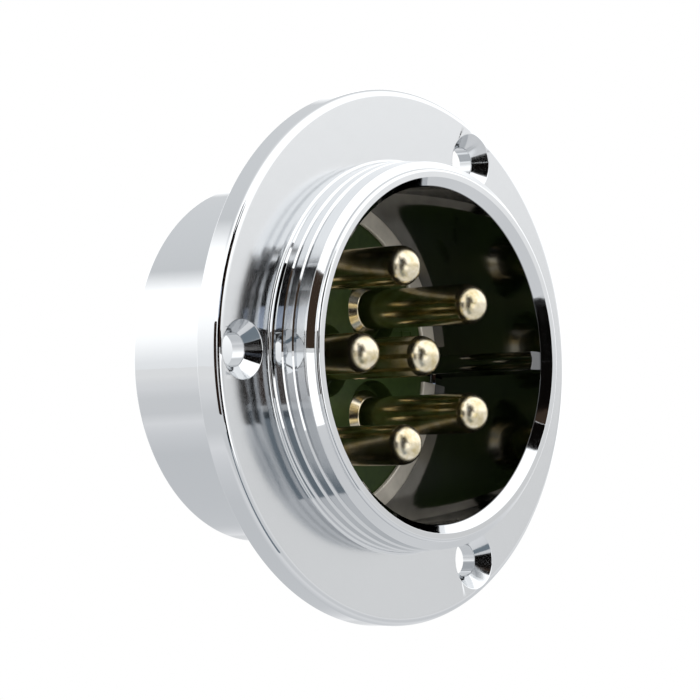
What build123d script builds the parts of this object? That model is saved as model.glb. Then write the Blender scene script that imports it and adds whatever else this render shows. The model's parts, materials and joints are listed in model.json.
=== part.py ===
from build123d import *
import math
import os

# Panel receptacle: a round flange with three countersunk holes, a short coupling sleeve, a plain rear barrel,
# two insulators, six pin contacts and a split retaining ring.
# Millimetres. The axis of the connector lies along Y and the mating side faces -Y.
# The origin is on the axis, in the rear face of the flange, the face that meets the panel.

# coupling sleeve, from the bore outwards
bore_r = 22.6
sleeve_wall = 3.3
sleeve_length = 7.5
mouth_bevel = 1.15
lead_chamfer = 0.9
rim_round = 0.5
rim_step = 0.65

# coupling thread: a right-hand groove with a flat root, which stops short of the lead chamfer
# its height above the flange is given where it passes the side at 180 degrees
thread_pitch = 1.75
thread_turns = 2.55
thread_opening = 0.86
thread_root = 0.2
thread_depth = 0.5
thread_height = 4.4
thread_run_out = 1.0

# flange: lands of metal inside and outside each countersink
flange_t = 3.8
flange_round = 1.0
flange_rear_chamfer = 0.25
screw_hole_r = 2.2
countersink_r = 3.95
inner_land = 1.4
outer_land = 0.8
screw_angles = (60.0, 180.0, 300.0)

# rear barrel
barrel_wall = 1.65
barrel_chamfer = 0.5
lip_t = 2.0
lip_width = 1.6

# key ridge down the bore
key_width = 2.5
key_height = 2.2
key_hollow_r = 2.4
key_root = 0.6

# pins
pin_r = 2.75
pin_from_wall = 10.1
first_pin_angle = 36.0
ring_pins = 5
pin_below_rim = 1.04

# insulators
face_depth = 20.6
front_insulator_t = 5.5
rear_insulator_t = 5.4
insulator_chamfer = 0.3
pocket_r = 4.95
pocket_depth = 2.6
seat_depth = 3.5

# contacts behind the face
collar_r = 3.7
collar_below_face = 1.3
head_r = 4.6
shank_r = 3.2
cup_r = 2.3
cup_depth = 7.0
cup_open = 5.0
cup_open_height = 0.4
contact_behind_barrel = 6.3

# retaining ring
ring_width = 2.95
ring_bite = 0.6
ring_t = 0.7
ring_chamfer = 0.2
ring_gap = 4.5

# clearances
insulator_fit = 0.1
key_fit = 0.15
contact_fit = 0.05
head_fit = 0.05
groove_fit = 0.1
groove_end_fit = 0.05

# radii that follow from the sizes above
sleeve_r = bore_r + sleeve_wall
rim_r = sleeve_r - lead_chamfer
screw_circle_r = sleeve_r + inner_land + countersink_r
flange_r = screw_circle_r + countersink_r + outer_land
barrel_r = bore_r + barrel_wall
lip_r = bore_r - lip_width
key_r = bore_r - key_height
ring_outer_r = bore_r + ring_bite
ring_inner_r = ring_outer_r - ring_width
pin_circle_r = bore_r - pin_from_wall

# positions along the axis that follow from the sizes above
flange_front = -flange_t
rim = flange_front - sleeve_length
face = rim + face_depth
split = face + front_insulator_t
shoulder = split + rear_insulator_t
barrel_end = shoulder + lip_t
seat = face + seat_depth
ring_front = face - ring_t
nose_centre = rim + pin_below_rim + pin_r
contact_end = barrel_end + contact_behind_barrel


def turned(points):
    """Revolves a closed outline of (radius, y) points about the Y axis."""
    return revolve(make_face(Polyline(*points, close=True)), Axis.Y)


def at_angle(radius, angle):
    """A place on a circle about the axis; the angle runs from +X towards +Z."""
    return Pos(radius * math.cos(math.radians(angle)), 0, radius * math.sin(math.radians(angle)))


def corner_rounded(sketch, r, y, radius):
    """Rounds the corner of an outline nearest to (r, y)."""
    return fillet(sketch.vertices().sort_by_distance((r, y, 0))[0], radius)


def thread_turn(share):
    """The cutter for one turn of the thread or a share of it, which starts at the run-out by the flange."""
    above = 0.2
    flare = (thread_opening - thread_root) / 2 / thread_depth
    wide = thread_opening / 2 + above * flare
    section = Plane.XZ * make_face(Polyline(
        (sleeve_r - thread_depth, -thread_root / 2),
        (sleeve_r + above, -wide),
        (sleeve_r + above, wide),
        (sleeve_r - thread_depth, thread_root / 2),
        close=True,
    ))
    groove = sweep(section, path=Helix(thread_pitch, share * thread_pitch, sleeve_r), is_frenet=True)
    start_angle = 180 - (thread_height - thread_run_out) / thread_pitch * 360
    return Pos(0, flange_front - thread_run_out, 0) * Rot(90, 0, 0) * Rot(0, 0, start_angle) * groove


def make_shell():
    groove_r = ring_outer_r + groove_fit
    outline = Polyline(
        (bore_r, rim + mouth_bevel),
        (bore_r + mouth_bevel, rim),
        (rim_r, rim),
        (rim_r, rim + rim_step),
        (sleeve_r, rim + rim_step + lead_chamfer),
        (sleeve_r, flange_front),
        (flange_r, flange_front),
        (flange_r, -flange_rear_chamfer),
        (flange_r - flange_rear_chamfer, 0),
        (barrel_r, 0),
        (barrel_r, barrel_end - barrel_chamfer),
        (barrel_r - barrel_chamfer, barrel_end),
        (lip_r, barrel_end),
        (lip_r, shoulder),
        (bore_r, shoulder),
        (bore_r, face + groove_end_fit),
        (groove_r, face + groove_end_fit),
        (groove_r, ring_front - groove_end_fit),
        (bore_r, ring_front - groove_end_fit),
        close=True,
    )
    section = Sketch() + make_face(outline)
    section = corner_rounded(section, rim_r, rim, rim_round)
    section = corner_rounded(section, flange_r, flange_front, flange_round)
    shell = revolve(section, Axis.Y)

    # the thread is cut a turn at a time, and the last piece is less than a turn
    whole_turns = math.floor(thread_turns)
    for i in range(whole_turns):
        shell -= Pos(0, -i * thread_pitch, 0) * thread_turn(1)
    shell -= Pos(0, -whole_turns * thread_pitch, 0) * thread_turn(thread_turns - whole_turns)

    # the ridge stands on the bore wall and its inner face is hollow, so its two inner edges are raised
    key_front = rim + mouth_bevel
    key_length = shoulder - key_front
    key_depth = key_height + key_root
    bar = Pos(key_r + key_depth / 2, key_front + key_length / 2, 0) * Box(key_depth, key_length, key_width)
    hollow_x = key_r - math.sqrt(key_hollow_r**2 - (key_width / 2) ** 2)
    rod = Rot(90, 0, 0) * Cylinder(key_hollow_r, key_length + 2)
    hollow = Pos(hollow_x, key_front + key_length / 2, 0) * rod
    shell += bar - hollow

    # a screw hole with a right-angled countersink, cut from a little in front of the flange
    above = 1.0
    start = flange_front - above
    wide = countersink_r + above
    screw_hole = turned([
        (0, start),
        (wide, start),
        (screw_hole_r, start + wide - screw_hole_r),
        (screw_hole_r, above),
        (0, above),
    ])
    for angle in screw_angles:
        shell -= at_angle(screw_circle_r, angle) * screw_hole
    return shell


def key_slot(y0, y1):
    """The room that an insulator leaves for the key ridge."""
    inner = key_r - key_fit
    width = key_width + 2 * key_fit
    height = bore_r + 1 - inner
    return Pos(inner + height / 2, (y0 + y1) / 2, 0) * Box(height, y1 - y0 + 2, width)


def stations():
    """The contact places, the ring first and then the centre, each with the way its solder cup opens."""
    step = 360 / ring_pins
    angles = [first_pin_angle + step * i for i in range(ring_pins)]
    return [(at_angle(pin_circle_r, a), a) for a in angles] + [(Pos(0, 0, 0), 0.0)]


def disc(y0, y1):
    """An insulator blank between two planes, with its outer edges broken."""
    r = bore_r - insulator_fit
    c = insulator_chamfer
    return turned([(0, y0), (r - c, y0), (r, y0 + c), (r, y1 - c), (r - c, y1), (0, y1)])


def make_front_insulator():
    hole_r = collar_r + contact_fit
    head_hole_r = head_r + head_fit
    hole = turned([
        (0, face - 1),
        (pocket_r, face - 1),
        (pocket_r, face + pocket_depth),
        (hole_r, face + pocket_depth),
        (hole_r, seat),
        (head_hole_r, seat),
        (head_hole_r, split + 1),
        (0, split + 1),
    ])
    body = disc(face, split) - key_slot(face, split)
    for place, _ in stations():
        body -= place * hole
    return body


def make_rear_insulator():
    hole_r = shank_r + contact_fit
    hole = turned([(0, split - 1), (hole_r, split - 1), (hole_r, shoulder + 1), (0, shoulder + 1)])
    body = disc(split, shoulder) - key_slot(split, shoulder)
    for place, _ in stations():
        body -= place * hole
    return body


def make_contact():
    """A pin with a domed nose, a conical shoulder, a collar and a head, and a solder cup open towards +X."""
    cone_end = face + collar_below_face
    nose = CenterArc((0, nose_centre), pin_r, 270, 90)
    rest = Polyline(
        (pin_r, nose_centre),
        (pin_r, cone_end - (collar_r - pin_r)),
        (collar_r, cone_end),
        (collar_r, seat),
        (head_r, seat),
        (head_r, split - head_fit),
        (shank_r, split - head_fit),
        (shank_r, contact_end),
        (cup_r, contact_end),
        (cup_r, contact_end - cup_depth),
        (0, contact_end - cup_depth),
        (0, nose_centre - pin_r),
    )
    contact = revolve(make_face(nose + rest), Axis.Y)
    slope_end = contact_end - cup_open
    over = shank_r + 1
    opening = make_face(Polyline(
        (cup_open_height, slope_end),
        (over, slope_end - (over - cup_open_height) / 2),
        (over, contact_end + 1),
        (cup_open_height, contact_end + 1),
        close=True,
    ))
    return contact - extrude(opening, amount=over, both=True)


def make_retaining_ring():
    ring = turned([
        (ring_inner_r + ring_chamfer, ring_front),
        (ring_outer_r, ring_front),
        (ring_outer_r, face),
        (ring_inner_r + ring_chamfer, face),
        (ring_inner_r, face - ring_chamfer),
        (ring_inner_r, ring_front + ring_chamfer),
    ])
    gap = Pos((ring_inner_r + ring_outer_r) / 2, face, 0) * Box(2 * ring_width, 4 * ring_t, ring_gap)
    return ring - gap


os.makedirs("parts", exist_ok=True)
export_step(make_shell(), "parts/shell.step")
export_step(make_front_insulator(), "parts/front_insulator.step")
export_step(make_rear_insulator(), "parts/rear_insulator.step")
export_step(make_retaining_ring(), "parts/retaining_ring.step")
pin_names = ["contact_" + str(i + 1) for i in range(ring_pins)] + ["contact_centre"]
for name, (place, angle) in zip(pin_names, stations()):
    export_step(place * Rot(0, -angle, 0) * make_contact(), "parts/" + name + ".step")
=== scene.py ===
"""Panel receptacle of a circular power connector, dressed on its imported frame."""
import json
import math

import bmesh
import bpy
from bpy.props import FloatProperty, FloatVectorProperty, IntProperty, PointerProperty
from mathutils import Euler, Matrix, Vector

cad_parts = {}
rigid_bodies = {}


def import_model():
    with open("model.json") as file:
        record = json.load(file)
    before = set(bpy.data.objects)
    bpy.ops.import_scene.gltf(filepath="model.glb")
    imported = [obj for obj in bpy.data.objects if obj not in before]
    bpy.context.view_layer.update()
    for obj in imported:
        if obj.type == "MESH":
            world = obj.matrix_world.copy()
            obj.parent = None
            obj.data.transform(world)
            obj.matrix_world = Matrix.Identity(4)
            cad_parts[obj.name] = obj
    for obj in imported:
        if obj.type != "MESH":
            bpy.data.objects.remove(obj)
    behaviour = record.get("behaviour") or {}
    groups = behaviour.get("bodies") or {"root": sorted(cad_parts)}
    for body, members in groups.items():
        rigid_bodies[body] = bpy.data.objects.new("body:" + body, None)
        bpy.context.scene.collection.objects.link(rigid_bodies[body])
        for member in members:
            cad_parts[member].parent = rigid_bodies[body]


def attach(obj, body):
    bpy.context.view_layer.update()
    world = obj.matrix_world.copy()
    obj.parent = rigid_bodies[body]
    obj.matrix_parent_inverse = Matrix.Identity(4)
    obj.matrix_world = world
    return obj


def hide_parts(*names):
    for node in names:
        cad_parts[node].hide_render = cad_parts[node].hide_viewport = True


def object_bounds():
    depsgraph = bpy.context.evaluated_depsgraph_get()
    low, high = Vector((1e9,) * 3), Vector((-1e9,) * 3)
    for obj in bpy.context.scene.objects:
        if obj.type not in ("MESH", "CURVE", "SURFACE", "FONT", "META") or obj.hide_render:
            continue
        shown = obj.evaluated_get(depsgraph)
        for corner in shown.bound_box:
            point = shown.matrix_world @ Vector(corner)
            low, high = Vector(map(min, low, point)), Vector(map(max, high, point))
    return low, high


bl_info = {
    "name": "Circular receptacle",
    "version": (1, 0, 0),
    "blender": (4, 5, 0),
    "location": "View3D > Sidebar > Receptacle",
    "description": "Builds the visible pieces of a panel receptacle around its packed frame",
    "category": "Object",
}

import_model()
CAD_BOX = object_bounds()

MM = 0.001
TURN = 2 * math.pi

# points of a mesh that lie closer than this are joined; a cut leaves stray points a little further apart
WELD = 0.0002 * MM
CUT_WELD = 0.002 * MM

# an edge that turns by more degrees than this is shaded sharp
CREASE = 32

# how far large faces outweigh small ones in the normals: 50 is neutral and 100 the most
AREA_WEIGHT = 90

# how far a cutting tool reaches past what it cuts
PAST = 1.0 * MM

# degrees about the axis, from the side of the key, which is +X, towards +Z
SCREW_ANGLES = (60, 180, 300)
FIRST_PIN = 36
PINS_ON_CIRCLE = 5

# divisions of a turn for the holes and the pins, and for the insulators
SMALL_STEPS = 96
DISC_STEPS = 192

# distance of the studio cards from the object, in metres
CARD_DISTANCE = 0.30


# sizes and colours

def length(label, text, millimetres):
    """A length property with its default in millimetres, kept in metres."""
    return FloatProperty(name=label, description=text, default=millimetres * MM, min=0.0,
                         unit="LENGTH", precision=5)


def tint(label, text, value):
    """A colour property whose default is an sRGB hex value."""
    return FloatVectorProperty(name=label, description=text, default=linear(value)[:3], min=0, max=1,
                               size=3, subtype="COLOR")


def linear(value):
    """An sRGB hex value as linear red, green, blue and alpha, by the sRGB standard's own curve."""
    out = []
    for i in (1, 3, 5):
        c = int(value[i:i + 2], 16) / 255
        out.append(c / 12.92 if c <= 0.04045 else ((c + 0.055) / 1.055) ** 2.4)
    return (*out, 1.0)


class ShellSizes(bpy.types.PropertyGroup):
    """Sizes of the turned shell. Heights are measured forwards from the front of the flange."""
    bore_r: length("Bore radius", "Radius of the bore that takes the plug", 22.6)
    sleeve_r: length("Sleeve radius", "Radius over the crests of the coupling thread", 25.9)
    rim_r: length("Rim radius", "Radius in front of the lead chamfer", 24.9)
    rim_height: length("Rim height", "Height of the rim over the flange", 7.5)
    mouth_bevel: length("Mouth bevel", "Leg of the bevel at the mouth of the bore", 1.15)
    rim_step: length("Rim step", "Distance from the rim to the lead chamfer", 0.65)
    flange_r: length("Flange radius", "Outer radius of the flange", 36.0)
    flange_t: length("Flange thickness", "Thickness of the flange", 3.8)
    barrel_r: length("Barrel radius", "Outer radius of the rear barrel", 24.25)
    barrel_length: length("Barrel length", "Length of the barrel behind the flange", 22.2)
    lip_r: length("Lip radius", "Inner radius of the lip at the rear of the barrel", 21.0)
    pitch: length("Thread pitch", "Advance of the coupling thread in one turn", 1.75)
    thread_height: length("Thread height", "Height of a groove on the side opposite the key", 4.4)
    run_out_low: length("Run-out end", "Height at which the groove has faded out", 0.6)
    run_out_high: length("Run-out start", "Height at which the groove has its full depth", 1.0)
    thread_end: length("Thread end", "Height at which the groove stops, short of the lead chamfer", 5.46)
    chamfer_leg: length("Lead chamfer leg", "Length of the lead chamfer along the axis", 0.66)
    groove_root: length("Groove root", "Width of the flat root of the thread groove", 0.12)
    groove_depth: length("Groove depth", "Depth of the thread groove", 0.62)
    buffed_from: length("Buffed from", "Height at which the buffed taper of the crests starts", 3.0)
    buffed_slope: FloatProperty(name="Buffed slope", description="Fall of the outer crests towards the front",
                                default=0.075)
    screw_circle_r: length("Screw circle radius", "Radius of the circle of the screw holes", 31.25)
    screw_hole_r: length("Screw hole radius", "Radius of a screw hole", 2.2)
    countersink_r: length("Countersink radius", "Radius of a countersink at the face", 3.95)
    key_r: length("Key radius", "Radius that the key ridge reaches in to", 20.4)
    key_width: length("Key width", "Width of the key ridge", 2.5)
    key_hollow_r: length("Key hollow radius", "Radius of the hollow in the inner face of the ridge", 2.4)
    steps: IntProperty(name="Steps", description="Divisions of a full turn", default=384, min=48)


class InsertSizes(bpy.types.PropertyGroup):
    """Sizes of the insulators, the ring and the contacts. Depths are measured from the flange's rear face."""
    face_y: length("Insulator face", "Depth of the insulator's face", 9.3)
    split_y: length("Joint face", "Depth of the face between the insulators", 14.8)
    shoulder_y: length("Shoulder", "Depth of the shoulder that the stack rests on", 20.2)
    insulator_r: length("Insulator radius", "Radius of both insulators", 22.5)
    pocket_r: length("Pocket radius", "Radius of the pocket around a pin", 4.95)
    pocket_depth: length("Pocket depth", "Depth of the pocket around a pin", 2.6)
    pin_r: length("Pin radius", "Radius of a pin", 2.75)
    pin_circle_r: length("Pin circle radius", "Radius of the circle of the outer pins", 12.5)
    nose_y: length("Nose centre", "Distance of the nose's centre in front of the flange's rear face", 7.51)
    collar_r: length("Collar radius", "Radius of the collar at the root of a pin", 3.7)
    collar_y: length("Collar top", "Depth at which the cone reaches the collar", 10.6)
    shank_r: length("Shank radius", "Radius of the shank and of the solder cup", 3.2)
    cup_r: length("Cup radius", "Inner radius of the solder cup", 2.3)
    cup_depth: length("Cup depth", "Depth of the solder cup", 7.0)
    cup_open: length("Cup opening", "Length of the side opening of the solder cup", 5.0)
    contact_end: length("Contact end", "Depth of the open end of the solder cups", 28.5)
    ring_inner_r: length("Ring inner radius", "Inner radius of the retaining ring", 20.25)
    ring_outer_r: length("Ring outer radius", "Outer radius of the retaining ring", 23.2)
    ring_t: length("Ring thickness", "Thickness of the retaining ring", 0.7)
    ring_gap: length("Ring gap", "Width of the gap in the retaining ring", 4.5)


class Finishes(bpy.types.PropertyGroup):
    """Colours of the finishes."""
    chrome: tint("Chrome", "Bright chrome plating", "#D7D9DB")
    green: tint("Insulator green", "Dark green moulded thermoset", "#34451F")
    nickel: tint("Nickel", "Satin nickel on the retaining ring", "#EBE4D6")
    silver: tint("Silver plate", "Slightly tarnished silver on the contacts", "#E8DEC6")
    tarnish: tint("Tarnish", "Yellow brown tarnish on the silver", "#C0AE74")


class StageSettings(bpy.types.PropertyGroup):
    """The studio around the object."""
    lamp_power: FloatProperty(name="Lamp power", description="Power of the fill lamp, half of the key lamp's",
                              default=1.2, min=0, unit="POWER")
    floor_colour: tint("Floor", "Colour of the floor", "#F2F2F0")
    floor_drop: length("Floor drop", "Distance from the lowest point of the object to the floor", 85)
    lens: FloatProperty(name="Lens", description="Focal length of the camera", default=272.84, min=1,
                        unit="CAMERA")


# mesh helpers

def softened(corners, steps=4):
    """A closed outline of (radius, y, rounding) corners as points, each rounding as an arc."""
    points = []
    count = len(corners)
    for i, (r, y, rounding) in enumerate(corners):
        here = Vector((r, y))
        if not rounding:
            points.append(here)
            continue
        back = (Vector(corners[i - 1][:2]) - here).normalized()
        on = (Vector(corners[(i + 1) % count][:2]) - here).normalized()
        half = back.angle(on) / 2
        reach = rounding / math.tan(half)
        centre = here + (back + on).normalized() * (rounding / math.sin(half))
        first = here + back * reach - centre
        last = here + on * reach - centre
        turn = math.atan2(first.x * last.y - first.y * last.x, first.dot(last))
        for k in range(steps + 1):
            a = turn * k / steps
            c, s = math.cos(a), math.sin(a)
            points.append(centre + Vector((first.x * c - first.y * s, first.x * s + first.y * c)))
    return points


def on_turn(r, y, angle):
    """A point at a radius, a depth and an angle about the axis; the angle runs from +X towards +Z."""
    return Vector((r * math.cos(angle), y, r * math.sin(angle)))


def woven(name, columns, cap_ends=False):
    """A mesh woven between columns of points, each a closed outline. Points that coincide are joined, so the
    columns may close on themselves."""
    bm = bmesh.new()
    rows = [[bm.verts.new(p) for p in column] for column in columns]
    n = len(rows[0])
    for a, b in zip(rows[:-1], rows[1:]):
        for j in range(n):
            k = (j + 1) % n
            bm.faces.new((a[j], a[k], b[k], b[j]))
    if cap_ends:
        bm.faces.new(rows[0])
        bm.faces.new(list(reversed(rows[-1])))
    bmesh.ops.remove_doubles(bm, verts=bm.verts, dist=WELD)
    bmesh.ops.dissolve_degenerate(bm, dist=WELD, edges=bm.edges)
    bmesh.ops.recalc_face_normals(bm, faces=bm.faces)
    mesh = bpy.data.meshes.new(name)
    bm.to_mesh(mesh)
    bm.free()
    return mesh


def turned(name, outline, steps):
    """A mesh turned about the Y axis from a closed outline of (radius, y) points."""
    columns = [[on_turn(p[0], p[1], TURN * i / steps) for p in outline] for i in range(steps + 1)]
    return woven(name, columns)


def place(name, mesh):
    """An object for a mesh, linked to the scene."""
    obj = bpy.data.objects.new(name, mesh)
    bpy.context.scene.collection.objects.link(obj)
    return obj


def baked(obj):
    """Applies the modifiers of an object to its mesh."""
    bpy.context.view_layer.update()
    graph = bpy.context.evaluated_depsgraph_get()
    mesh = bpy.data.meshes.new_from_object(obj.evaluated_get(graph), depsgraph=graph)
    obj.modifiers.clear()
    obj.data = mesh
    return obj


def cut(obj, cutters):
    """Takes each cutter mesh away from an object and joins the stray points that a cut leaves."""
    for i, mesh in enumerate(cutters):
        tool = place(f"cutter_{i}", mesh)
        step = obj.modifiers.new("cut", "BOOLEAN")
        step.operation = "DIFFERENCE"
        step.solver = "EXACT"
        step.object = tool
        baked(obj)
        bpy.data.objects.remove(tool)
        shape = bmesh.new()
        shape.from_mesh(obj.data)
        bmesh.ops.remove_doubles(shape, verts=shape.verts, dist=CUT_WELD)
        shape.to_mesh(obj.data)
        shape.free()
    if not obj.data.polygons:
        raise RuntimeError(f"{obj.name} was cut away completely")
    return obj


def finish_piece(obj, material, nodes):
    """Shades a piece smooth between its creases, weights its normals by face area, and hands it to the frame.
    The weighting does nothing to faces as small as these are in metres, so it is done in millimetres."""
    mesh = obj.data
    mesh.transform(Matrix.Scale(1 / MM, 4))
    mesh.materials.clear()
    mesh.materials.append(material)
    mesh.shade_smooth()
    mesh.set_sharp_from_angle(angle=math.radians(CREASE))
    weigh = obj.modifiers.new("normals", "WEIGHTED_NORMAL")
    weigh.keep_sharp = True
    weigh.weight = AREA_WEIGHT
    baked(obj)
    obj.data.transform(Matrix.Scale(MM, 4))
    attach(obj, "root")
    if nodes:
        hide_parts(*nodes)
    return obj


def box_mesh(name, low, high):
    """A box between two corners, as a tool for cutting."""
    low = Vector(low)
    size = Vector(high) - low
    bm = bmesh.new()
    bmesh.ops.create_cube(bm, size=1.0)
    for v in bm.verts:
        v.co = low + Vector([size[i] * (v.co[i] + 0.5) for i in range(3)])
    mesh = bpy.data.meshes.new(name)
    bm.to_mesh(mesh)
    bm.free()
    return mesh


def stations():
    """The places of the contacts: name, angle of its solder cup, and offset from the axis."""
    s = bpy.context.scene.receptacle_insert
    out = []
    for i in range(PINS_ON_CIRCLE):
        a = math.radians(FIRST_PIN + 360 / PINS_ON_CIRCLE * i)
        out.append((f"contact_{i + 1}", a, on_turn(s.pin_circle_r, 0, a)))
    out.append(("contact_centre", 0.0, Vector((0, 0, 0))))
    return out


# materials

def add(tree, kind, settings=None, **inputs):
    """Adds a node and sets its settings. Its inputs are set or linked by name, with an underscore for a
    space, or by index, as in i0."""
    node = tree.nodes.new(kind)
    for key, value in (settings or {}).items():
        setattr(node, key, value)
    for key, value in inputs.items():
        by_index = key[0] == "i" and key[1:].isdigit()
        socket = node.inputs[int(key[1:]) if by_index else key.replace("_", " ")]
        if isinstance(value, bpy.types.NodeSocket):
            tree.links.new(value, socket)
        else:
            socket.default_value = value
    return node


def blank(name):
    """An empty node material and its tree."""
    material = bpy.data.materials.new(name)
    material.use_nodes = True
    material.node_tree.nodes.clear()
    return material, material.node_tree


def surface(tree, shader):
    """Joins a shader to the material's output."""
    add(tree, "ShaderNodeOutputMaterial", Surface=shader.outputs[0])


def own_place(tree):
    """Where a point lies on its own object, in metres."""
    return add(tree, "ShaderNodeTexCoord").outputs["Object"]


def noise(tree, where, scale, detail, roughness=0.5):
    """Noise between 0 and 1, with a scale in cells a metre."""
    node = add(tree, "ShaderNodeTexNoise", Vector=where, Scale=scale, Detail=detail, Roughness=roughness)
    return node.outputs["Fac"]


def maths(tree, operation, *values):
    """One sum on values and sockets."""
    inputs = {f"i{k}": value for k, value in enumerate(values)}
    return add(tree, "ShaderNodeMath", {"operation": operation}, **inputs).outputs[0]


def rising(tree, value, start, end, top=1.0):
    """Goes from 0 to a top value as the given value goes from start to end, and is level outside them."""
    return add(tree, "ShaderNodeMapRange", Value=value, From_Min=start, From_Max=end, To_Max=top).outputs[0]


def between(tree, value, low, high):
    """Spreads a value of 0 to 1 over another range."""
    return add(tree, "ShaderNodeMapRange", Value=value, To_Min=low, To_Max=high).outputs[0]


def shade(colour, amount=1.0):
    """A colour made darker or lighter, with its alpha."""
    return (*(Vector(colour) * amount), 1)


def ramp(tree, factor, stops):
    """A colour ramp with the given (position, colour) stops."""
    node = add(tree, "ShaderNodeValToRGB", i0=factor)
    marks = node.color_ramp.elements
    while len(marks) < len(stops):
        marks.new(0.5)
    for mark, (position, value) in zip(marks, stops):
        mark.position = position
        mark.color = value
    return node.outputs[0]


def chrome_regions(tree, where):
    """Three masks on the shell, each 1 inside and 0 outside: the bore, the flange face and the screw holes.
    They are told by a point's radius and its depth."""
    s = bpy.context.scene.receptacle_shell
    at_face = 0.02 * MM
    face_edge = 1.2 * MM
    face_fade = 0.5 * MM
    bore_edge = 0.02 * MM
    bore_fade = 0.1 * MM
    hole_margin = 0.1 * MM
    wall_half = 1.85 * MM
    across = add(tree, "ShaderNodeVectorMath", {"operation": "MULTIPLY"}, i0=where, i1=(1, 0, 1))
    radius = add(tree, "ShaderNodeVectorMath", {"operation": "LENGTH"}, i0=across.outputs[0]).outputs["Value"]
    depth = add(tree, "ShaderNodeSeparateXYZ", i0=where).outputs[1]

    bore_start = s.bore_r + bore_edge
    bore = rising(tree, radius, bore_start + bore_fade, bore_start)

    level = maths(tree, "COMPARE", depth, -s.flange_t, at_face)
    face_end = s.flange_r - face_edge
    face = maths(tree, "MULTIPLY", level, rising(tree, radius, face_end + face_fade, face_end))

    holes = maths(tree, "COMPARE", radius, s.screw_circle_r, s.countersink_r + hole_margin)
    deep = maths(tree, "COMPARE", depth, -s.flange_t / 2, wall_half)
    return bore, face, maths(tree, "MULTIPLY", deep, holes)


def chrome_plate():
    """Bright chromium over polished brass. A mirror whose slight waviness, left by polishing before
    plating, bends reflections a little. The flange face still has the fine rings of turning under the
    plating, which draw reflections out along the radius, so the threads are blurred in it. The bore and
    the screw holes, which the buffing wheel doesn't reach, are duller. The bore's colour is also darkened
    to a quarter, as painted shade for the deep bore."""
    chrome = bpy.context.scene.receptacle_finish.chrome
    face_rings = 0.07
    drilled = 0.05
    unbuffed = 0.03
    # share of the chrome colour kept in the bore: painted shade for the deep bore
    painted_bore_shade = 0.25
    material, tree = blank("chrome_plated_brass_polished")
    where = own_place(tree)
    wave = noise(tree, where, 260.0, 2.0)
    haze = noise(tree, where, 1400.0, 4.0, 0.6)
    bore, face, walls = chrome_regions(tree, where)
    rough = between(tree, haze, 0.015, 0.05)
    for region, roughness in ((face, face_rings), (walls, drilled), (bore, unbuffed)):
        rough = maths(tree, "MULTIPLY_ADD", region, roughness, rough)
    # painted shade: the chrome colour in the bore is darkened, standing in for the shade inside the shell
    body = ramp(tree, bore, [(0.0, shade(chrome)), (1.0, shade(chrome, painted_bore_shade))])
    around_axis = add(tree, "ShaderNodeTangent", {"direction_type": "RADIAL", "axis": "Y"})
    bump = add(tree, "ShaderNodeBump", Height=wave, Strength=0.05, Distance=0.2 * MM)
    metal = add(tree, "ShaderNodeBsdfPrincipled", Base_Color=body, Metallic=1.0, Roughness=rough,
                Anisotropic=0.9, Anisotropic_Rotation=0.25, Tangent=around_axis.outputs[0],
                Normal=bump.outputs[0])
    surface(tree, metal)
    return material


def green_thermoset():
    """Glass-filled thermoset, compression moulded. It is dark green and half glossy, and the filler gives it
    a faint mottle."""
    green = bpy.context.scene.receptacle_finish.green
    material, tree = blank("green_thermoset_moulded")
    filler = noise(tree, own_place(tree), 900.0, 3.0, 0.6)
    body = ramp(tree, filler, [(0.3, shade(green, 0.82)), (0.7, shade(green, 1.15))])
    rough = between(tree, filler, 0.28, 0.42)
    bump = add(tree, "ShaderNodeBump", Height=filler, Strength=0.12, Distance=0.03 * MM)
    plastic = add(tree, "ShaderNodeBsdfPrincipled", Base_Color=body, Roughness=rough, IOR=1.5,
                  Specular_IOR_Level=0.3, Normal=bump.outputs[0])
    surface(tree, plastic)
    return material


def satin_nickel():
    """Nickel plated spring steel, tumbled. Its fine pits scatter the light that falls in at the mouth, so
    it stays pale and warm against the dark bore, with a satin gloss on top."""
    nickel = bpy.context.scene.receptacle_finish.nickel
    material, tree = blank("nickel_plated_spring_steel_satin")
    where = own_place(tree)
    grain = noise(tree, where, 5000.0, 3.0)
    patch = noise(tree, where, 350.0, 3.0)
    body = ramp(tree, patch, [(0.35, shade(nickel, 0.8)), (0.65, shade(nickel))])
    rough = between(tree, grain, 0.1, 0.18)
    bump = add(tree, "ShaderNodeBump", Height=grain, Strength=0.15, Distance=0.01 * MM)
    metal = add(tree, "ShaderNodeBsdfPrincipled", Base_Color=body, Metallic=0.2, Roughness=rough,
                Normal=bump.outputs[0])
    surface(tree, metal)
    return material


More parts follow.
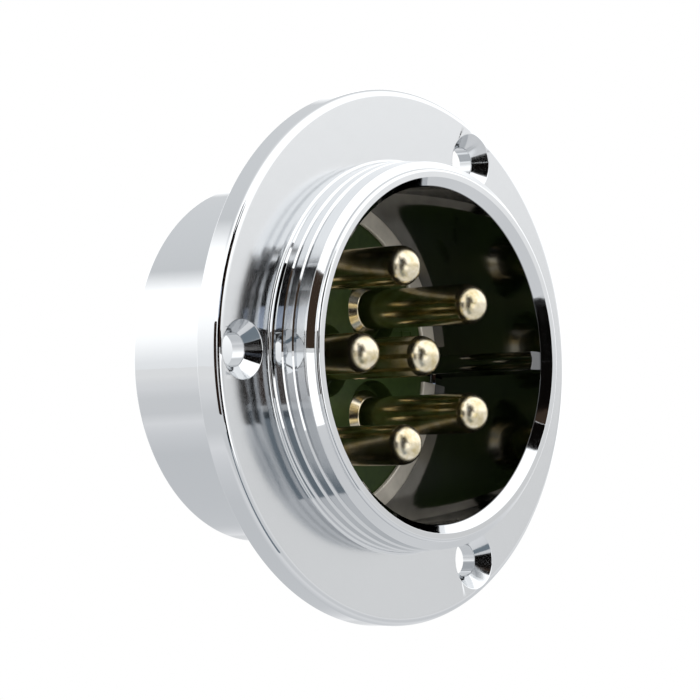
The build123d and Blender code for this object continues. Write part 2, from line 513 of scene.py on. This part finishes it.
def tarnished_silver():
    """Silver plated brass contact. Cream white and bright where clean, with soft brownish stains of
    tarnish. The straight part of a pin leans further towards the tarnish colour than its nose: partly more
    stain, partly a painted reflection of the green insulators and bore. From a little in front of the
    insulator's face back to the solder cup, the colour leans towards the silver."""
    c = bpy.context.scene.receptacle_finish
    nose_y = bpy.context.scene.receptacle_insert.nose_y
    nose_length = 1.5 * MM
    paler_from = 6.5 * MM
    paler_to = 8.5 * MM
    # the straight part leans further to the tarnish colour: partly stain, partly painted reflection of the
    # green insulators
    straight_tarnish_and_reflection = 0.12
    # from a little in front of the insulator's face backwards, the colour leans towards the silver
    root_paler = -0.24
    material, tree = blank("silver_plated_brass_tarnished")
    where = own_place(tree)
    stain = noise(tree, where, 520.0, 5.0, 0.62)
    fine = noise(tree, where, 2600.0, 3.0)
    along = add(tree, "ShaderNodeSeparateXYZ", i0=where).outputs[1]
    straight = rising(tree, along, -nose_y - nose_length, -nose_y)
    root = rising(tree, along, paler_from, paler_to, root_paler)
    # the tint along the pin: partly painted reflection on the straight part, paler towards the root
    tint_along_pin = maths(tree, "MULTIPLY_ADD", straight, straight_tarnish_and_reflection, root)
    tarnish_and_reflection = maths(tree, "ADD", tint_along_pin, stain)
    body = ramp(tree, tarnish_and_reflection, [(0.42, shade(c.silver)), (0.78, shade(c.tarnish))])
    rough = between(tree, straight, 0.25, 0.17)
    bump = add(tree, "ShaderNodeBump", Height=fine, Strength=0.04, Distance=0.02 * MM)
    metal = add(tree, "ShaderNodeBsdfPrincipled", Base_Color=body, Metallic=1.0, Roughness=rough,
                Normal=bump.outputs[0])
    surface(tree, metal)
    return material


# shell

def groove_section(s):
    """The thread groove across its width, as (offset, depth) points with slightly broken edges. Its flank
    that faces the flange is the steeper one."""
    edge = 0.03 * MM
    steep_flank = 18
    flat_flank = 34
    section = []
    for way, slope in ((1, steep_flank), (-1, flat_flank)):
        run = math.tan(math.radians(slope))
        root = s.groove_root / 2
        top = root + s.groove_depth * run
        side = [(top, 0.0), (top - 0.5 * edge * run, 0.3 * edge), (top - edge * run, edge)]
        side += [(root + edge * run, s.groove_depth - edge), (0.6 * root, s.groove_depth)]
        side = [(way * u, d) for u, d in side]
        section += side if way > 0 else side[::-1]
    return section


def stepped(z, low, high):
    """A height kept between two limits, and drawn to a limit that it comes close to."""
    close = 0.012 * MM
    if z > high - close:
        return high
    return low if z < low + close else z


def crest_r(s, z, high):
    """Radius over the crests. The buffing wheel has taken the outer ones down a little."""
    return s.sleeve_r + s.buffed_slope * (high - max(z, s.buffed_from))


def groove_fade(s, centre):
    """The share of its depth that the groove has at a height. It fades out smoothly at both ends."""
    faintest = 0.05
    fade_length = s.run_out_high - s.run_out_low
    rise = (centre - s.run_out_low) / fade_length
    fall = (s.thread_end - centre) / fade_length
    share = min(1.0, max(0.0, min(rise, fall)))
    return share * share * (3 - 2 * share) if share > faintest else 0.0


def thread_run(s, angle, low, high):
    """The thread's outline at one angle, from the front down: (radius, height) points between two heights.
    The groove climbs one pitch a turn, runs out before the flange and fades in short of the lead chamfer.
    Every angle gets the same number of points, so that the columns can be woven together."""
    section = groove_section(s)
    turns = (angle - math.pi) / TURN
    first_crossing, last_crossing = 1, -3
    run = [(crest_r(s, high, high), high)]
    for k in range(first_crossing, last_crossing - 1, -1):
        centre = s.thread_height + s.pitch * (turns + k)
        share = groove_fade(s, centre)
        for u, d in section:
            z = stepped(centre + u, low, high)
            depth = d * share if low < z < high else 0.0
            run.append((crest_r(s, z, high) - depth, z))
        z = stepped(centre - s.pitch / 2, low, high)
        run.append((crest_r(s, z, high), z))
    run.append((crest_r(s, low, high), low))
    return run


def shell_columns(s):
    """The shell's outline at every angle, with the thread cut in. The thread's own stretch lies between the
    heights low and high, and the softened outlines before and after it leave it out."""
    insert = bpy.context.scene.receptacle_insert
    front = -s.flange_t
    rim = front - s.rim_height
    seat = insert.shoulder_y
    chamfer_end = s.rim_height - s.rim_step - s.chamfer_leg
    low = 0.45 * MM
    high = chamfer_end - 0.06 * MM

    # the groove of the retaining ring, with its room around the ring
    groove_r = insert.ring_outer_r + 0.1 * MM
    groove_back = insert.face_y + 0.05 * MM
    groove_front = insert.face_y - insert.ring_t - 0.05 * MM

    # how far each edge is rounded
    fine = 0.08 * MM
    mouth_edge = 0.1 * MM
    land_edge = 0.06 * MM
    rim_edge = 0.45 * MM
    sleeve_foot = 0.4 * MM
    flange_edge = 1.0 * MM
    flange_rear_edge = 0.2 * MM
    barrel_foot = 0.15 * MM
    barrel_edge = 0.45 * MM
    lip_edge = 0.15 * MM
    arc_steps = 6

    before = softened([
        (s.bore_r, rim + s.mouth_bevel, mouth_edge),
        (s.bore_r + s.mouth_bevel, rim, land_edge),
        (s.rim_r, rim, rim_edge),
        (s.rim_r, rim + s.rim_step, fine),
        (s.sleeve_r, front - chamfer_end, fine),
        (s.sleeve_r, front - high, 0),
        (s.bore_r, front - high, 0),
    ], arc_steps)[:-2]
    after = softened([
        (s.bore_r, front - low, 0),
        (crest_r(s, low, high), front - low, 0),
        (crest_r(s, low, high), front, sleeve_foot),
        (s.flange_r, front, flange_edge),
        (s.flange_r, 0, flange_rear_edge),
        (s.barrel_r, 0, barrel_foot),
        (s.barrel_r, s.barrel_length, barrel_edge),
        (s.lip_r, s.barrel_length, lip_edge),
        (s.lip_r, seat, fine),
        (s.bore_r, seat, 0),
        (s.bore_r, groove_back, fine),
        (groove_r, groove_back, 0),
        (groove_r, groove_front, 0),
        (s.bore_r, groove_front, fine),
    ], arc_steps)[2:]
    columns = []
    for i in range(s.steps + 1):
        angle = TURN * i / s.steps
        run = [(r, front - z) for r, z in thread_run(s, angle, low, high)]
        outline = [tuple(p) for p in before] + run + [tuple(p) for p in after]
        columns.append([on_turn(r, y, angle) for r, y in outline])
    return columns


def screw_cutter(s, angle):
    """The tool for a screw hole: a right-angled countersink with a narrow broken edge, and the hole. A slight
    turn keeps its corners off the corners of the flange."""
    slight_turn = 0.02
    y = -s.flange_t
    sink = s.countersink_r
    hole = s.screw_hole_r
    edge = 0.07 * MM
    outline = [
        (0, y - PAST),
        (sink + 3 * edge, y - PAST),
        (sink + 3 * edge, y - 0.6 * edge),
        (sink + edge, y),
        (sink - edge, y + edge),
        (hole + edge, y + sink - hole - edge),
        (hole, y + sink - hole + edge),
        (hole, -edge),
        (hole + 2 * edge, edge),
        (hole + 2 * edge, PAST),
        (0, PAST),
    ]
    mesh = turned("screw_tool", [Vector(p) for p in outline], SMALL_STEPS)
    moved = Matrix.Translation(on_turn(s.screw_circle_r, 0, angle))
    mesh.transform(moved @ Matrix.Rotation(slight_turn, 4, "Y"))
    return mesh


def ridge_outline(s):
    """The key ridge in section, as (x, z) points: a bar in the bore wall with a hollow inner face."""
    half = s.key_width / 2
    let_in = 0.5 * MM
    edge = 0.1 * MM
    edge_top = 0.02 * MM
    horn = 0.12 * MM
    steps = 16
    side = [
        (s.bore_r + let_in, half),
        (s.key_r + edge, half),
        (s.key_r + edge_top, half - edge / 2),
    ]
    hollow_x = s.key_r - math.sqrt(s.key_hollow_r ** 2 - half ** 2)
    reach = math.asin((half - horn) / s.key_hollow_r)
    inner = []
    for k in range(steps + 1):
        a = reach * (1 - 2 * k / steps)
        inner.append((hollow_x + s.key_hollow_r * math.cos(a), s.key_hollow_r * math.sin(a)))
    return side + inner + [(x, -z) for x, z in reversed(side)]


def ridge_columns(s, back):
    """The key ridge from a little behind the mouth bevel to the shoulder, with its front end softened."""
    front = -s.flange_t - s.rim_height + s.mouth_bevel + 0.03 * MM
    soft = 0.12 * MM
    outline = [Vector(p) for p in ridge_outline(s)]
    middle = Vector((s.bore_r, 0))
    columns = []
    for y, shrink in ((front, soft), (front + soft / 3, soft / 3), (front + soft, 0.0), (back, 0.0)):
        ring = [p + (middle - p).normalized() * shrink for p in outline]
        columns.append([Vector((p.x, y, p.y)) for p in ring])
    return columns


class RECEPTACLE_OT_shell(bpy.types.Operator):
    """Build the chrome shell: flange, threaded sleeve, barrel and key ridge"""
    bl_idname = "receptacle.shell"
    bl_label = "Shell"

    def execute(self, context):
        s = context.scene.receptacle_shell
        chrome = chrome_plate()
        shell = place("shell_body", woven("shell_body", shell_columns(s)))
        cut(shell, [screw_cutter(s, math.radians(a)) for a in SCREW_ANGLES])
        finish_piece(shell, chrome, ["shell"])

        # the ridge is a mesh of its own with the shell's chrome; the shell's own mesh replaces the node
        columns = ridge_columns(s, context.scene.receptacle_insert.shoulder_y)
        ridge = place("key_ridge", woven("key_ridge", columns, cap_ends=True))
        finish_piece(ridge, chrome, [])
        return {"FINISHED"}


# insulators, ring and contacts

def disc(name, y0, y1, s):
    """An insulator blank with softened edges."""
    soft = 0.25 * MM
    corners = [(0, y0, 0), (s.insulator_r, y0, soft), (s.insulator_r, y1, soft), (0, y1, 0)]
    return turned(name, softened(corners), DISC_STEPS)


def keyway(shell, y0, y1):
    """The tool for the slot that passes over the key ridge."""
    room = 0.15 * MM
    half = shell.key_width / 2 + room
    return box_mesh("keyway", (shell.key_r - room, y0 - PAST, -half), (shell.bore_r + PAST, y1 + PAST, half))


def hole_tool(outline, offset):
    """A turned tool moved to a contact's place."""
    mesh = turned("hole_tool", [Vector(p) for p in outline], SMALL_STEPS)
    mesh.transform(Matrix.Translation(offset))
    return mesh


def pocket_outline(s):
    """The pocket around a pin and the hole that its collar sits in, with softened edges."""
    edge = 0.12 * MM
    draft = 0.05 * MM
    floor = s.face_y + s.pocket_depth
    hole = s.collar_r + 0.05 * MM
    return [
        (0, s.face_y - PAST),
        (s.pocket_r + 2 * edge, s.face_y - PAST),
        (s.pocket_r + 2 * edge, s.face_y - 0.5 * edge),
        (s.pocket_r + 0.6 * edge, s.face_y + 0.4 * edge),
        (s.pocket_r, s.face_y + 1.4 * edge),
        (s.pocket_r - draft, floor - edge),
        (s.pocket_r - draft - edge, floor),
        (hole, floor),
        (hole, s.split_y + PAST),
        (0, s.split_y + PAST),
    ]


def shank_hole_outline(s):
    """The hole for a contact's shank, with a softened rear edge."""
    edge = 0.15 * MM
    hole = s.shank_r + 0.05 * MM
    return [
        (0, s.split_y - PAST),
        (hole, s.split_y - PAST),
        (hole, s.shoulder_y - edge),
        (hole + edge, s.shoulder_y + 0.2 * edge),
        (hole + edge, s.shoulder_y + PAST),
        (0, s.shoulder_y + PAST),
    ]


def mark_tools(s):
    """The tools for the two short strokes moulded into the insulator's face near the key."""
    mark_r = 17.1 * MM
    mark_angle = 14
    aside = 0.95 * MM
    half_size = Vector((0.7, 0.2, 0.5)) * MM
    middle = on_turn(mark_r, s.face_y, math.radians(mark_angle))
    tools = []
    for side in (-1, 1):
        centre = middle + Vector((side * aside, 0, 0))
        tools.append(box_mesh("mark", centre - half_size, centre + half_size))
    return tools


class RECEPTACLE_OT_front_insulator(bpy.types.Operator):
    """Build the green insulator at the bottom of the bore, with its pockets and moulded mark"""
    bl_idname = "receptacle.front_insulator"
    bl_label = "Front insulator"

    def execute(self, context):
        s = context.scene.receptacle_insert
        shell = context.scene.receptacle_shell
        body = place("front_insulator_body", disc("front_insulator_body", s.face_y, s.split_y, s))
        tools = [hole_tool(pocket_outline(s), offset) for _, _, offset in stations()]
        tools.append(keyway(shell, s.face_y, s.split_y))
        cut(body, tools + mark_tools(s))
        finish_piece(body, green_thermoset(), ["front_insulator"])
        return {"FINISHED"}


class RECEPTACLE_OT_rear_insulator(bpy.types.Operator):
    """Build the rear insulator that the contacts pass through"""
    bl_idname = "receptacle.rear_insulator"
    bl_label = "Rear insulator"

    def execute(self, context):
        s = context.scene.receptacle_insert
        shell = context.scene.receptacle_shell
        body = place("rear_insulator_body", disc("rear_insulator_body", s.split_y, s.shoulder_y, s))
        tools = [hole_tool(shank_hole_outline(s), offset) for _, _, offset in stations()]
        tools.append(keyway(shell, s.split_y, s.shoulder_y))
        cut(body, tools)
        green = bpy.data.materials["green_thermoset_moulded"]
        finish_piece(body, green, ["rear_insulator"])
        return {"FINISHED"}


class RECEPTACLE_OT_retaining_ring(bpy.types.Operator):
    """Build the split retaining ring in front of the insulator"""
    bl_idname = "receptacle.retaining_ring"
    bl_label = "Retaining ring"

    def execute(self, context):
        s = context.scene.receptacle_insert
        front = s.face_y - s.ring_t
        inner_edge = 0.28 * MM
        outer_edge = 0.08 * MM
        arc_steps = 5
        steps = 256
        outline = softened([
            (s.ring_inner_r, front, inner_edge),
            (s.ring_outer_r, front, outer_edge),
            (s.ring_outer_r, s.face_y, outer_edge),
            (s.ring_inner_r, s.face_y, inner_edge),
        ], arc_steps)
        start = math.asin(s.ring_gap / 2 / s.ring_inner_r)
        angles = [start + (TURN - 2 * start) * i / steps for i in range(steps + 1)]
        columns = [[on_turn(p[0], p[1], a) for p in outline] for a in angles]
        ring = place("split_ring", woven("split_ring", columns, cap_ends=True))
        finish_piece(ring, satin_nickel(), ["retaining_ring"])
        return {"FINISHED"}


def contact_outline(s):
    """A contact from the tip of its domed nose back to the floor of its solder cup."""
    nose_steps = 20
    edge = 0.12 * MM
    cone_edge = 0.15 * MM
    drill_point = 0.6 * MM
    nose = []
    for k in range(nose_steps + 1):
        a = math.pi / 2 * k / nose_steps
        nose.append(Vector((s.pin_r * math.sin(a), -s.nose_y - s.pin_r * math.cos(a))))
    cone = s.collar_y - (s.collar_r - s.pin_r)
    cup_floor = s.contact_end - s.cup_depth
    rest = softened([
        (s.pin_r, cone, cone_edge),
        (s.collar_r, s.collar_y, edge),
        (s.collar_r, s.split_y, 0),
        (s.shank_r, s.split_y, 0),
        (s.shank_r, s.contact_end, edge),
        (s.cup_r, s.contact_end, edge),
        (s.cup_r, cup_floor + drill_point, 0),
        (0, cup_floor, 0),
        (0, cone, 0),
    ])[:-1]
    return nose + rest


def cup_tool(s):
    """The tool that opens a solder cup on its +X side, with a sloping end."""
    low = 0.4 * MM
    slope = s.contact_end - s.cup_open
    over = s.shank_r + PAST
    end = s.contact_end + PAST
    side = [Vector(p) for p in ((low, slope), (over, slope - (over - low) / 2), (over, end), (low, end))]
    return woven("cup_tool", [[Vector((p.x, p.y, z)) for p in side] for z in (-over, over)], cap_ends=True)


class RECEPTACLE_OT_contacts(bpy.types.Operator):
    """Build the pin contacts with their solder cups"""
    bl_idname = "receptacle.contacts"
    bl_label = "Contacts"

    def execute(self, context):
        s = context.scene.receptacle_insert
        silver = tarnished_silver()
        outline = contact_outline(s)
        for name, angle, offset in stations():
            pin = place(name + "_pin", turned(name + "_pin", outline, SMALL_STEPS))
            cut(pin, [cup_tool(s)])
            pin.data.transform(Matrix.Translation(offset) @ Matrix.Rotation(-angle, 4, "Y"))
            finish_piece(pin, silver, [name])
        return {"FINISHED"}


# stage

def flat(name, size, material):
    """A square sheet with one material, for the floor and the cards."""
    bm = bmesh.new()
    bmesh.ops.create_grid(bm, x_segments=1, y_segments=1, size=size / 2)
    mesh = bpy.data.meshes.new(name)
    bm.to_mesh(mesh)
    bm.free()
    mesh.materials.append(material)
    obj = place(name, mesh)
    return obj


def mirrored_sheet(name, value, strength, matrix):
    """A sheet of one metre, set by a matrix, that glows in one colour and that only reflections see."""
    material, tree = blank(name)
    surface(tree, add(tree, "ShaderNodeEmission", Color=linear(value), Strength=strength))
    obj = flat(name, 1.0, material)
    obj.matrix_world = matrix
    obj.visible_camera = False
    obj.visible_diffuse = False
    obj.visible_shadow = False
    return obj


def card(name, azimuths, elevations, value, strength=1.0, distance=CARD_DISTANCE):
    """An upright studio card. It fills a range of azimuths, counted from the front towards +X, and of
    elevations, both in degrees from the middle of the object."""
    middle = math.radians(sum(azimuths) / 2)
    width = 2 * distance * math.tan(math.radians(azimuths[1] - azimuths[0]) / 2)
    low, high = (distance * math.tan(math.radians(e)) for e in elevations)
    out = Vector((math.sin(middle), -math.cos(middle), 0))
    turn = (-out).to_track_quat("Z", "Y").to_matrix().to_4x4()
    centre = out * distance + Vector((0, 0, (low + high) / 2))
    stretch = Matrix.Diagonal((width, high - low, 1, 1))
    return mirrored_sheet(name, value, strength, Matrix.Translation(centre) @ turn @ stretch)


def dark_room():
    """The dark room behind the camera, seen through the opening of the tent, and the tent's white lower edge.
    The opening is three columns of azimuths wide, and each column is cut into cards by elevation."""
    left = (-55, -47)
    middle = (-47, -30.5)
    right = (-30.5, -15)
    low_end = 1.5
    sill = 3
    card("camera_low", left, (-21, low_end), "#3B2A22")
    card("camera_body", left, (low_end, 12), "#0A0807")
    card("window", left, (12, 22), "#C4D0E6")
    card("room_top", left, (22, 42), "#0E1014")
    card("room_ceiling", (-60, -44), (42, 54), "#7C7D80")
    card("opening_low", (-47, -28), (-26, sill), "#070605", distance=0.24)
    card("opening_high", middle, (sill, 40), "#0A0807")
    card("opening_corner", (-30.5, -21), (31, 44), "#0A0807")
    card("opening_right", right, (sill, 31), "#40342B")
    card("opening_left", (-57, -55), (6, 30), "#3A302B")
    card("frame_edge", (-15, -5), (low_end, 6.5), "#241E1B")
    card("white_edge", (-28, -4), (-24.5, low_end), "#FFFFFF", strength=1.6)
    card("side_gap", (-105, -68), (-21, 12), "#2E241E")


def table_shade(floor_height):
    """A long grey sheet on the floor in front of the object, for the shaded part of the table."""
    centre_x = -0.112
    centre_y = -0.129
    above_floor = 0.002
    long_side = 0.21
    short_side = 0.055
    degrees_from_x = 27
    centre = Vector((centre_x, centre_y, floor_height + above_floor))
    turn = Matrix.Rotation(math.radians(degrees_from_x), 4, "Z")
    stretch = Matrix.Diagonal((long_side, short_side, 1, 1))
    return mirrored_sheet("table_shade", "#7E8992", 1.0, Matrix.Translation(centre) @ turn @ stretch)


def area_lamp(name, seat, power):
    """A soft square lamp that looks at the object and doesn't show in reflections."""
    data = bpy.data.lights.new(name, "AREA")
    data.energy = power
    data.size = 0.4
    lamp = bpy.data.objects.new(name, data)
    bpy.context.scene.collection.objects.link(lamp)
    turn = Vector(seat).to_track_quat("Z", "Y").to_matrix().to_4x4()
    lamp.matrix_world = Matrix.Translation(seat) @ turn
    lamp.visible_glossy = False
    return lamp


def photo_camera(lens):
    """The photograph's camera: where it stands, in metres, and its tilt from straight down, its roll and its
    heading, in degrees. They were fitted to the photograph."""
    seat = Vector((-0.542574, -0.461895, -0.035552))
    tilt, roll, heading = 92.9475, 0.4034, -49.2828
    turn = Euler([math.radians(angle) for angle in (tilt, roll, heading)], "XYZ")
    data = bpy.data.cameras.new("camera")
    data.lens = lens
    data.sensor_width = 36
    data.clip_start = 0.01
    camera = bpy.data.objects.new("camera", data)
    bpy.context.scene.collection.objects.link(camera)
    camera.matrix_world = Matrix.Translation(seat) @ turn.to_matrix().to_4x4()
    return camera


def levels(tree, height, stops, top):
    """Brightness by height: stops of (elevation in degrees, brightness, blue tint), as a colour ramp. The
    height is a share of the way from straight down to straight up, and the brightness is divided by the
    top one."""
    marks = []
    for elevation, brightness, blue in stops:
        level = brightness / top
        share = (math.sin(math.radians(elevation)) + 1) / 2
        marks.append((share, (level * (1 - blue), level, level * (1 + blue), 1)))
    return ramp(tree, height, marks)


def studio_world():
    """White to the camera. Reflections see a tent, white overhead and in front and greyer below."""
    top = 1.6
    soft_light = 0.75
    sideways_lean = 0.1
    front_end = -0.1
    rear_start = 0.3
    white = (1, 1, 1, 1)
    world = bpy.data.worlds.new("studio")
    world.use_nodes = True
    tree = world.node_tree
    tree.nodes.clear()
    way = add(tree, "ShaderNodeSeparateXYZ", i0=add(tree, "ShaderNodeTexCoord").outputs["Generated"])
    height = rising(tree, way.outputs[2], -1.0, 1.0)
    front = levels(tree, height, [
        (-60, 0.74, 0.02), (-30, 0.88, 0.03), (-8, 1.04, 0.02), (1, 0.82, 0.0), (5, 1.12, 0.0),
        (14, 1.55, 0.0), (60, 1.6, 0.0),
    ], top)
    leaning = maths(tree, "MULTIPLY_ADD", way.outputs[0], sideways_lean, height)
    rear = levels(tree, leaning, [
        (-50, 0.66, 0.04), (-30, 0.92, 0.02), (-8, 1.1, 0.01), (2, 1.4, 0.0), (12, 1.6, 0.0), (27, 1.5, 0.0),
        (36, 0.8, 0.02), (50, 0.84, 0.02), (70, 0.93, 0.01),
    ], top)
    side = rising(tree, way.outputs[1], front_end, rear_start)
    tent = add(tree, "ShaderNodeMix", {"data_type": "RGBA"}, i0=side, i6=front, i7=rear)
    rays = add(tree, "ShaderNodeLightPath")
    mirrored = maths(tree, "MAXIMUM", rays.outputs["Is Glossy Ray"], rays.outputs["Is Transmission Ray"])
    seen = add(tree, "ShaderNodeBackground", Color=white, Strength=1.0)
    soft = add(tree, "ShaderNodeBackground", Color=white, Strength=soft_light)
    tent_light = add(tree, "ShaderNodeBackground", Color=tent.outputs[2], Strength=top)
    plain = add(tree, "ShaderNodeMixShader", Fac=rays.outputs["Is Camera Ray"], i1=soft.outputs[0],
                i2=seen.outputs[0])
    both = add(tree, "ShaderNodeMixShader", Fac=mirrored, i1=plain.outputs[0], i2=tent_light.outputs[0])
    add(tree, "ShaderNodeOutputWorld", Surface=both.outputs[0])
    return world


def floor_paper(settings):
    """Matt paper. The camera sees it lifted to white, so that only the shadow shows, and reflections see it
    as grey as it is in the photograph's chrome: darkest behind the object, where the flange shades it."""
    camera_lift = 0.3
    shaded_spot = (0, 0.12, 0)
    material, tree = blank("floor_paper_matt")
    rays = add(tree, "ShaderNodeLightPath")
    paper = add(tree, "ShaderNodeBsdfDiffuse", Color=shade(settings.floor_colour))
    lift = maths(tree, "MULTIPLY", rays.outputs["Is Camera Ray"], camera_lift)
    glow = add(tree, "ShaderNodeEmission", Color=(1, 1, 1, 1), Strength=lift)
    direct = add(tree, "ShaderNodeAddShader", i0=paper.outputs[0], i1=glow.outputs[0])
    away = add(tree, "ShaderNodeVectorMath", {"operation": "DISTANCE"}, i0=own_place(tree), i1=shaded_spot)
    tone = ramp(tree, away.outputs["Value"], [
        (0.08, (0.72, 0.735, 0.755, 1)), (0.13, (0.82, 0.83, 0.85, 1)), (0.17, (0.93, 0.935, 0.95, 1)),
        (0.22, (0.79, 0.8, 0.815, 1)), (0.34, (0.8, 0.81, 0.825, 1)), (0.5, (0.9, 0.905, 0.92, 1)),
        (1.0, (1, 1, 1, 1)),
    ])
    mirrored = add(tree, "ShaderNodeEmission", Color=tone, Strength=1.0)
    both = add(tree, "ShaderNodeMixShader", Fac=rays.outputs["Is Glossy Ray"], i1=direct.outputs[0],
               i2=mirrored.outputs[0])
    surface(tree, both)
    return material


class RECEPTACLE_OT_stage(bpy.types.Operator):
    """Set the floor, the light and the camera"""
    bl_idname = "receptacle.stage"
    bl_label = "Stage"

    def execute(self, context):
        scene = context.scene
        settings = scene.receptacle_stage
        floor_size = 4.0
        key_seat = (-0.45, -0.5, 0.45)
        fill_seat = (0.5, -0.4, 0.2)
        for obj in list(bpy.data.objects):
            if obj.type in {"LIGHT", "CAMERA"} or obj.name == "Cube":
                bpy.data.objects.remove(obj)

        floor = flat("floor", floor_size, floor_paper(settings))
        floor.location.z = CAD_BOX[0][2] - settings.floor_drop
        scene.world = studio_world()
        scene.view_settings.view_transform = "Standard"
        scene.camera = photo_camera(settings.lens)
        dark_room()
        table_shade(floor.location.z)
        area_lamp("key", key_seat, settings.lamp_power * 2)
        area_lamp("fill", fill_seat, settings.lamp_power)
        return {"FINISHED"}


# panel and registration

class RECEPTACLE_PT_panel(bpy.types.Panel):
    """The steps that build the receptacle"""
    bl_idname = "RECEPTACLE_PT_panel"
    bl_label = "Receptacle"
    bl_space_type = "VIEW_3D"
    bl_region_type = "UI"
    bl_category = "Receptacle"

    def draw(self, context):
        for step in STEPS:
            self.layout.operator(step.bl_idname)


STEPS = (
    RECEPTACLE_OT_shell,
    RECEPTACLE_OT_front_insulator,
    RECEPTACLE_OT_rear_insulator,
    RECEPTACLE_OT_retaining_ring,
    RECEPTACLE_OT_contacts,
    RECEPTACLE_OT_stage,
)
GROUPS = {
    "receptacle_shell": ShellSizes,
    "receptacle_insert": InsertSizes,
    "receptacle_finish": Finishes,
    "receptacle_stage": StageSettings,
}


def register():
    for kind in (*GROUPS.values(), *STEPS, RECEPTACLE_PT_panel):
        bpy.utils.register_class(kind)
    for name, kind in GROUPS.items():
        setattr(bpy.types.Scene, name, PointerProperty(type=kind))


def unregister():
    for name in GROUPS:
        delattr(bpy.types.Scene, name)
    for kind in reversed((*GROUPS.values(), *STEPS, RECEPTACLE_PT_panel)):
        bpy.utils.unregister_class(kind)


def main():
    register()
    bpy.ops.receptacle.shell()
    bpy.ops.receptacle.front_insulator()
    bpy.ops.receptacle.rear_insulator()
    bpy.ops.receptacle.retaining_ring()
    bpy.ops.receptacle.contacts()
    bpy.ops.receptacle.stage()


if __name__ == "__main__":
    main()
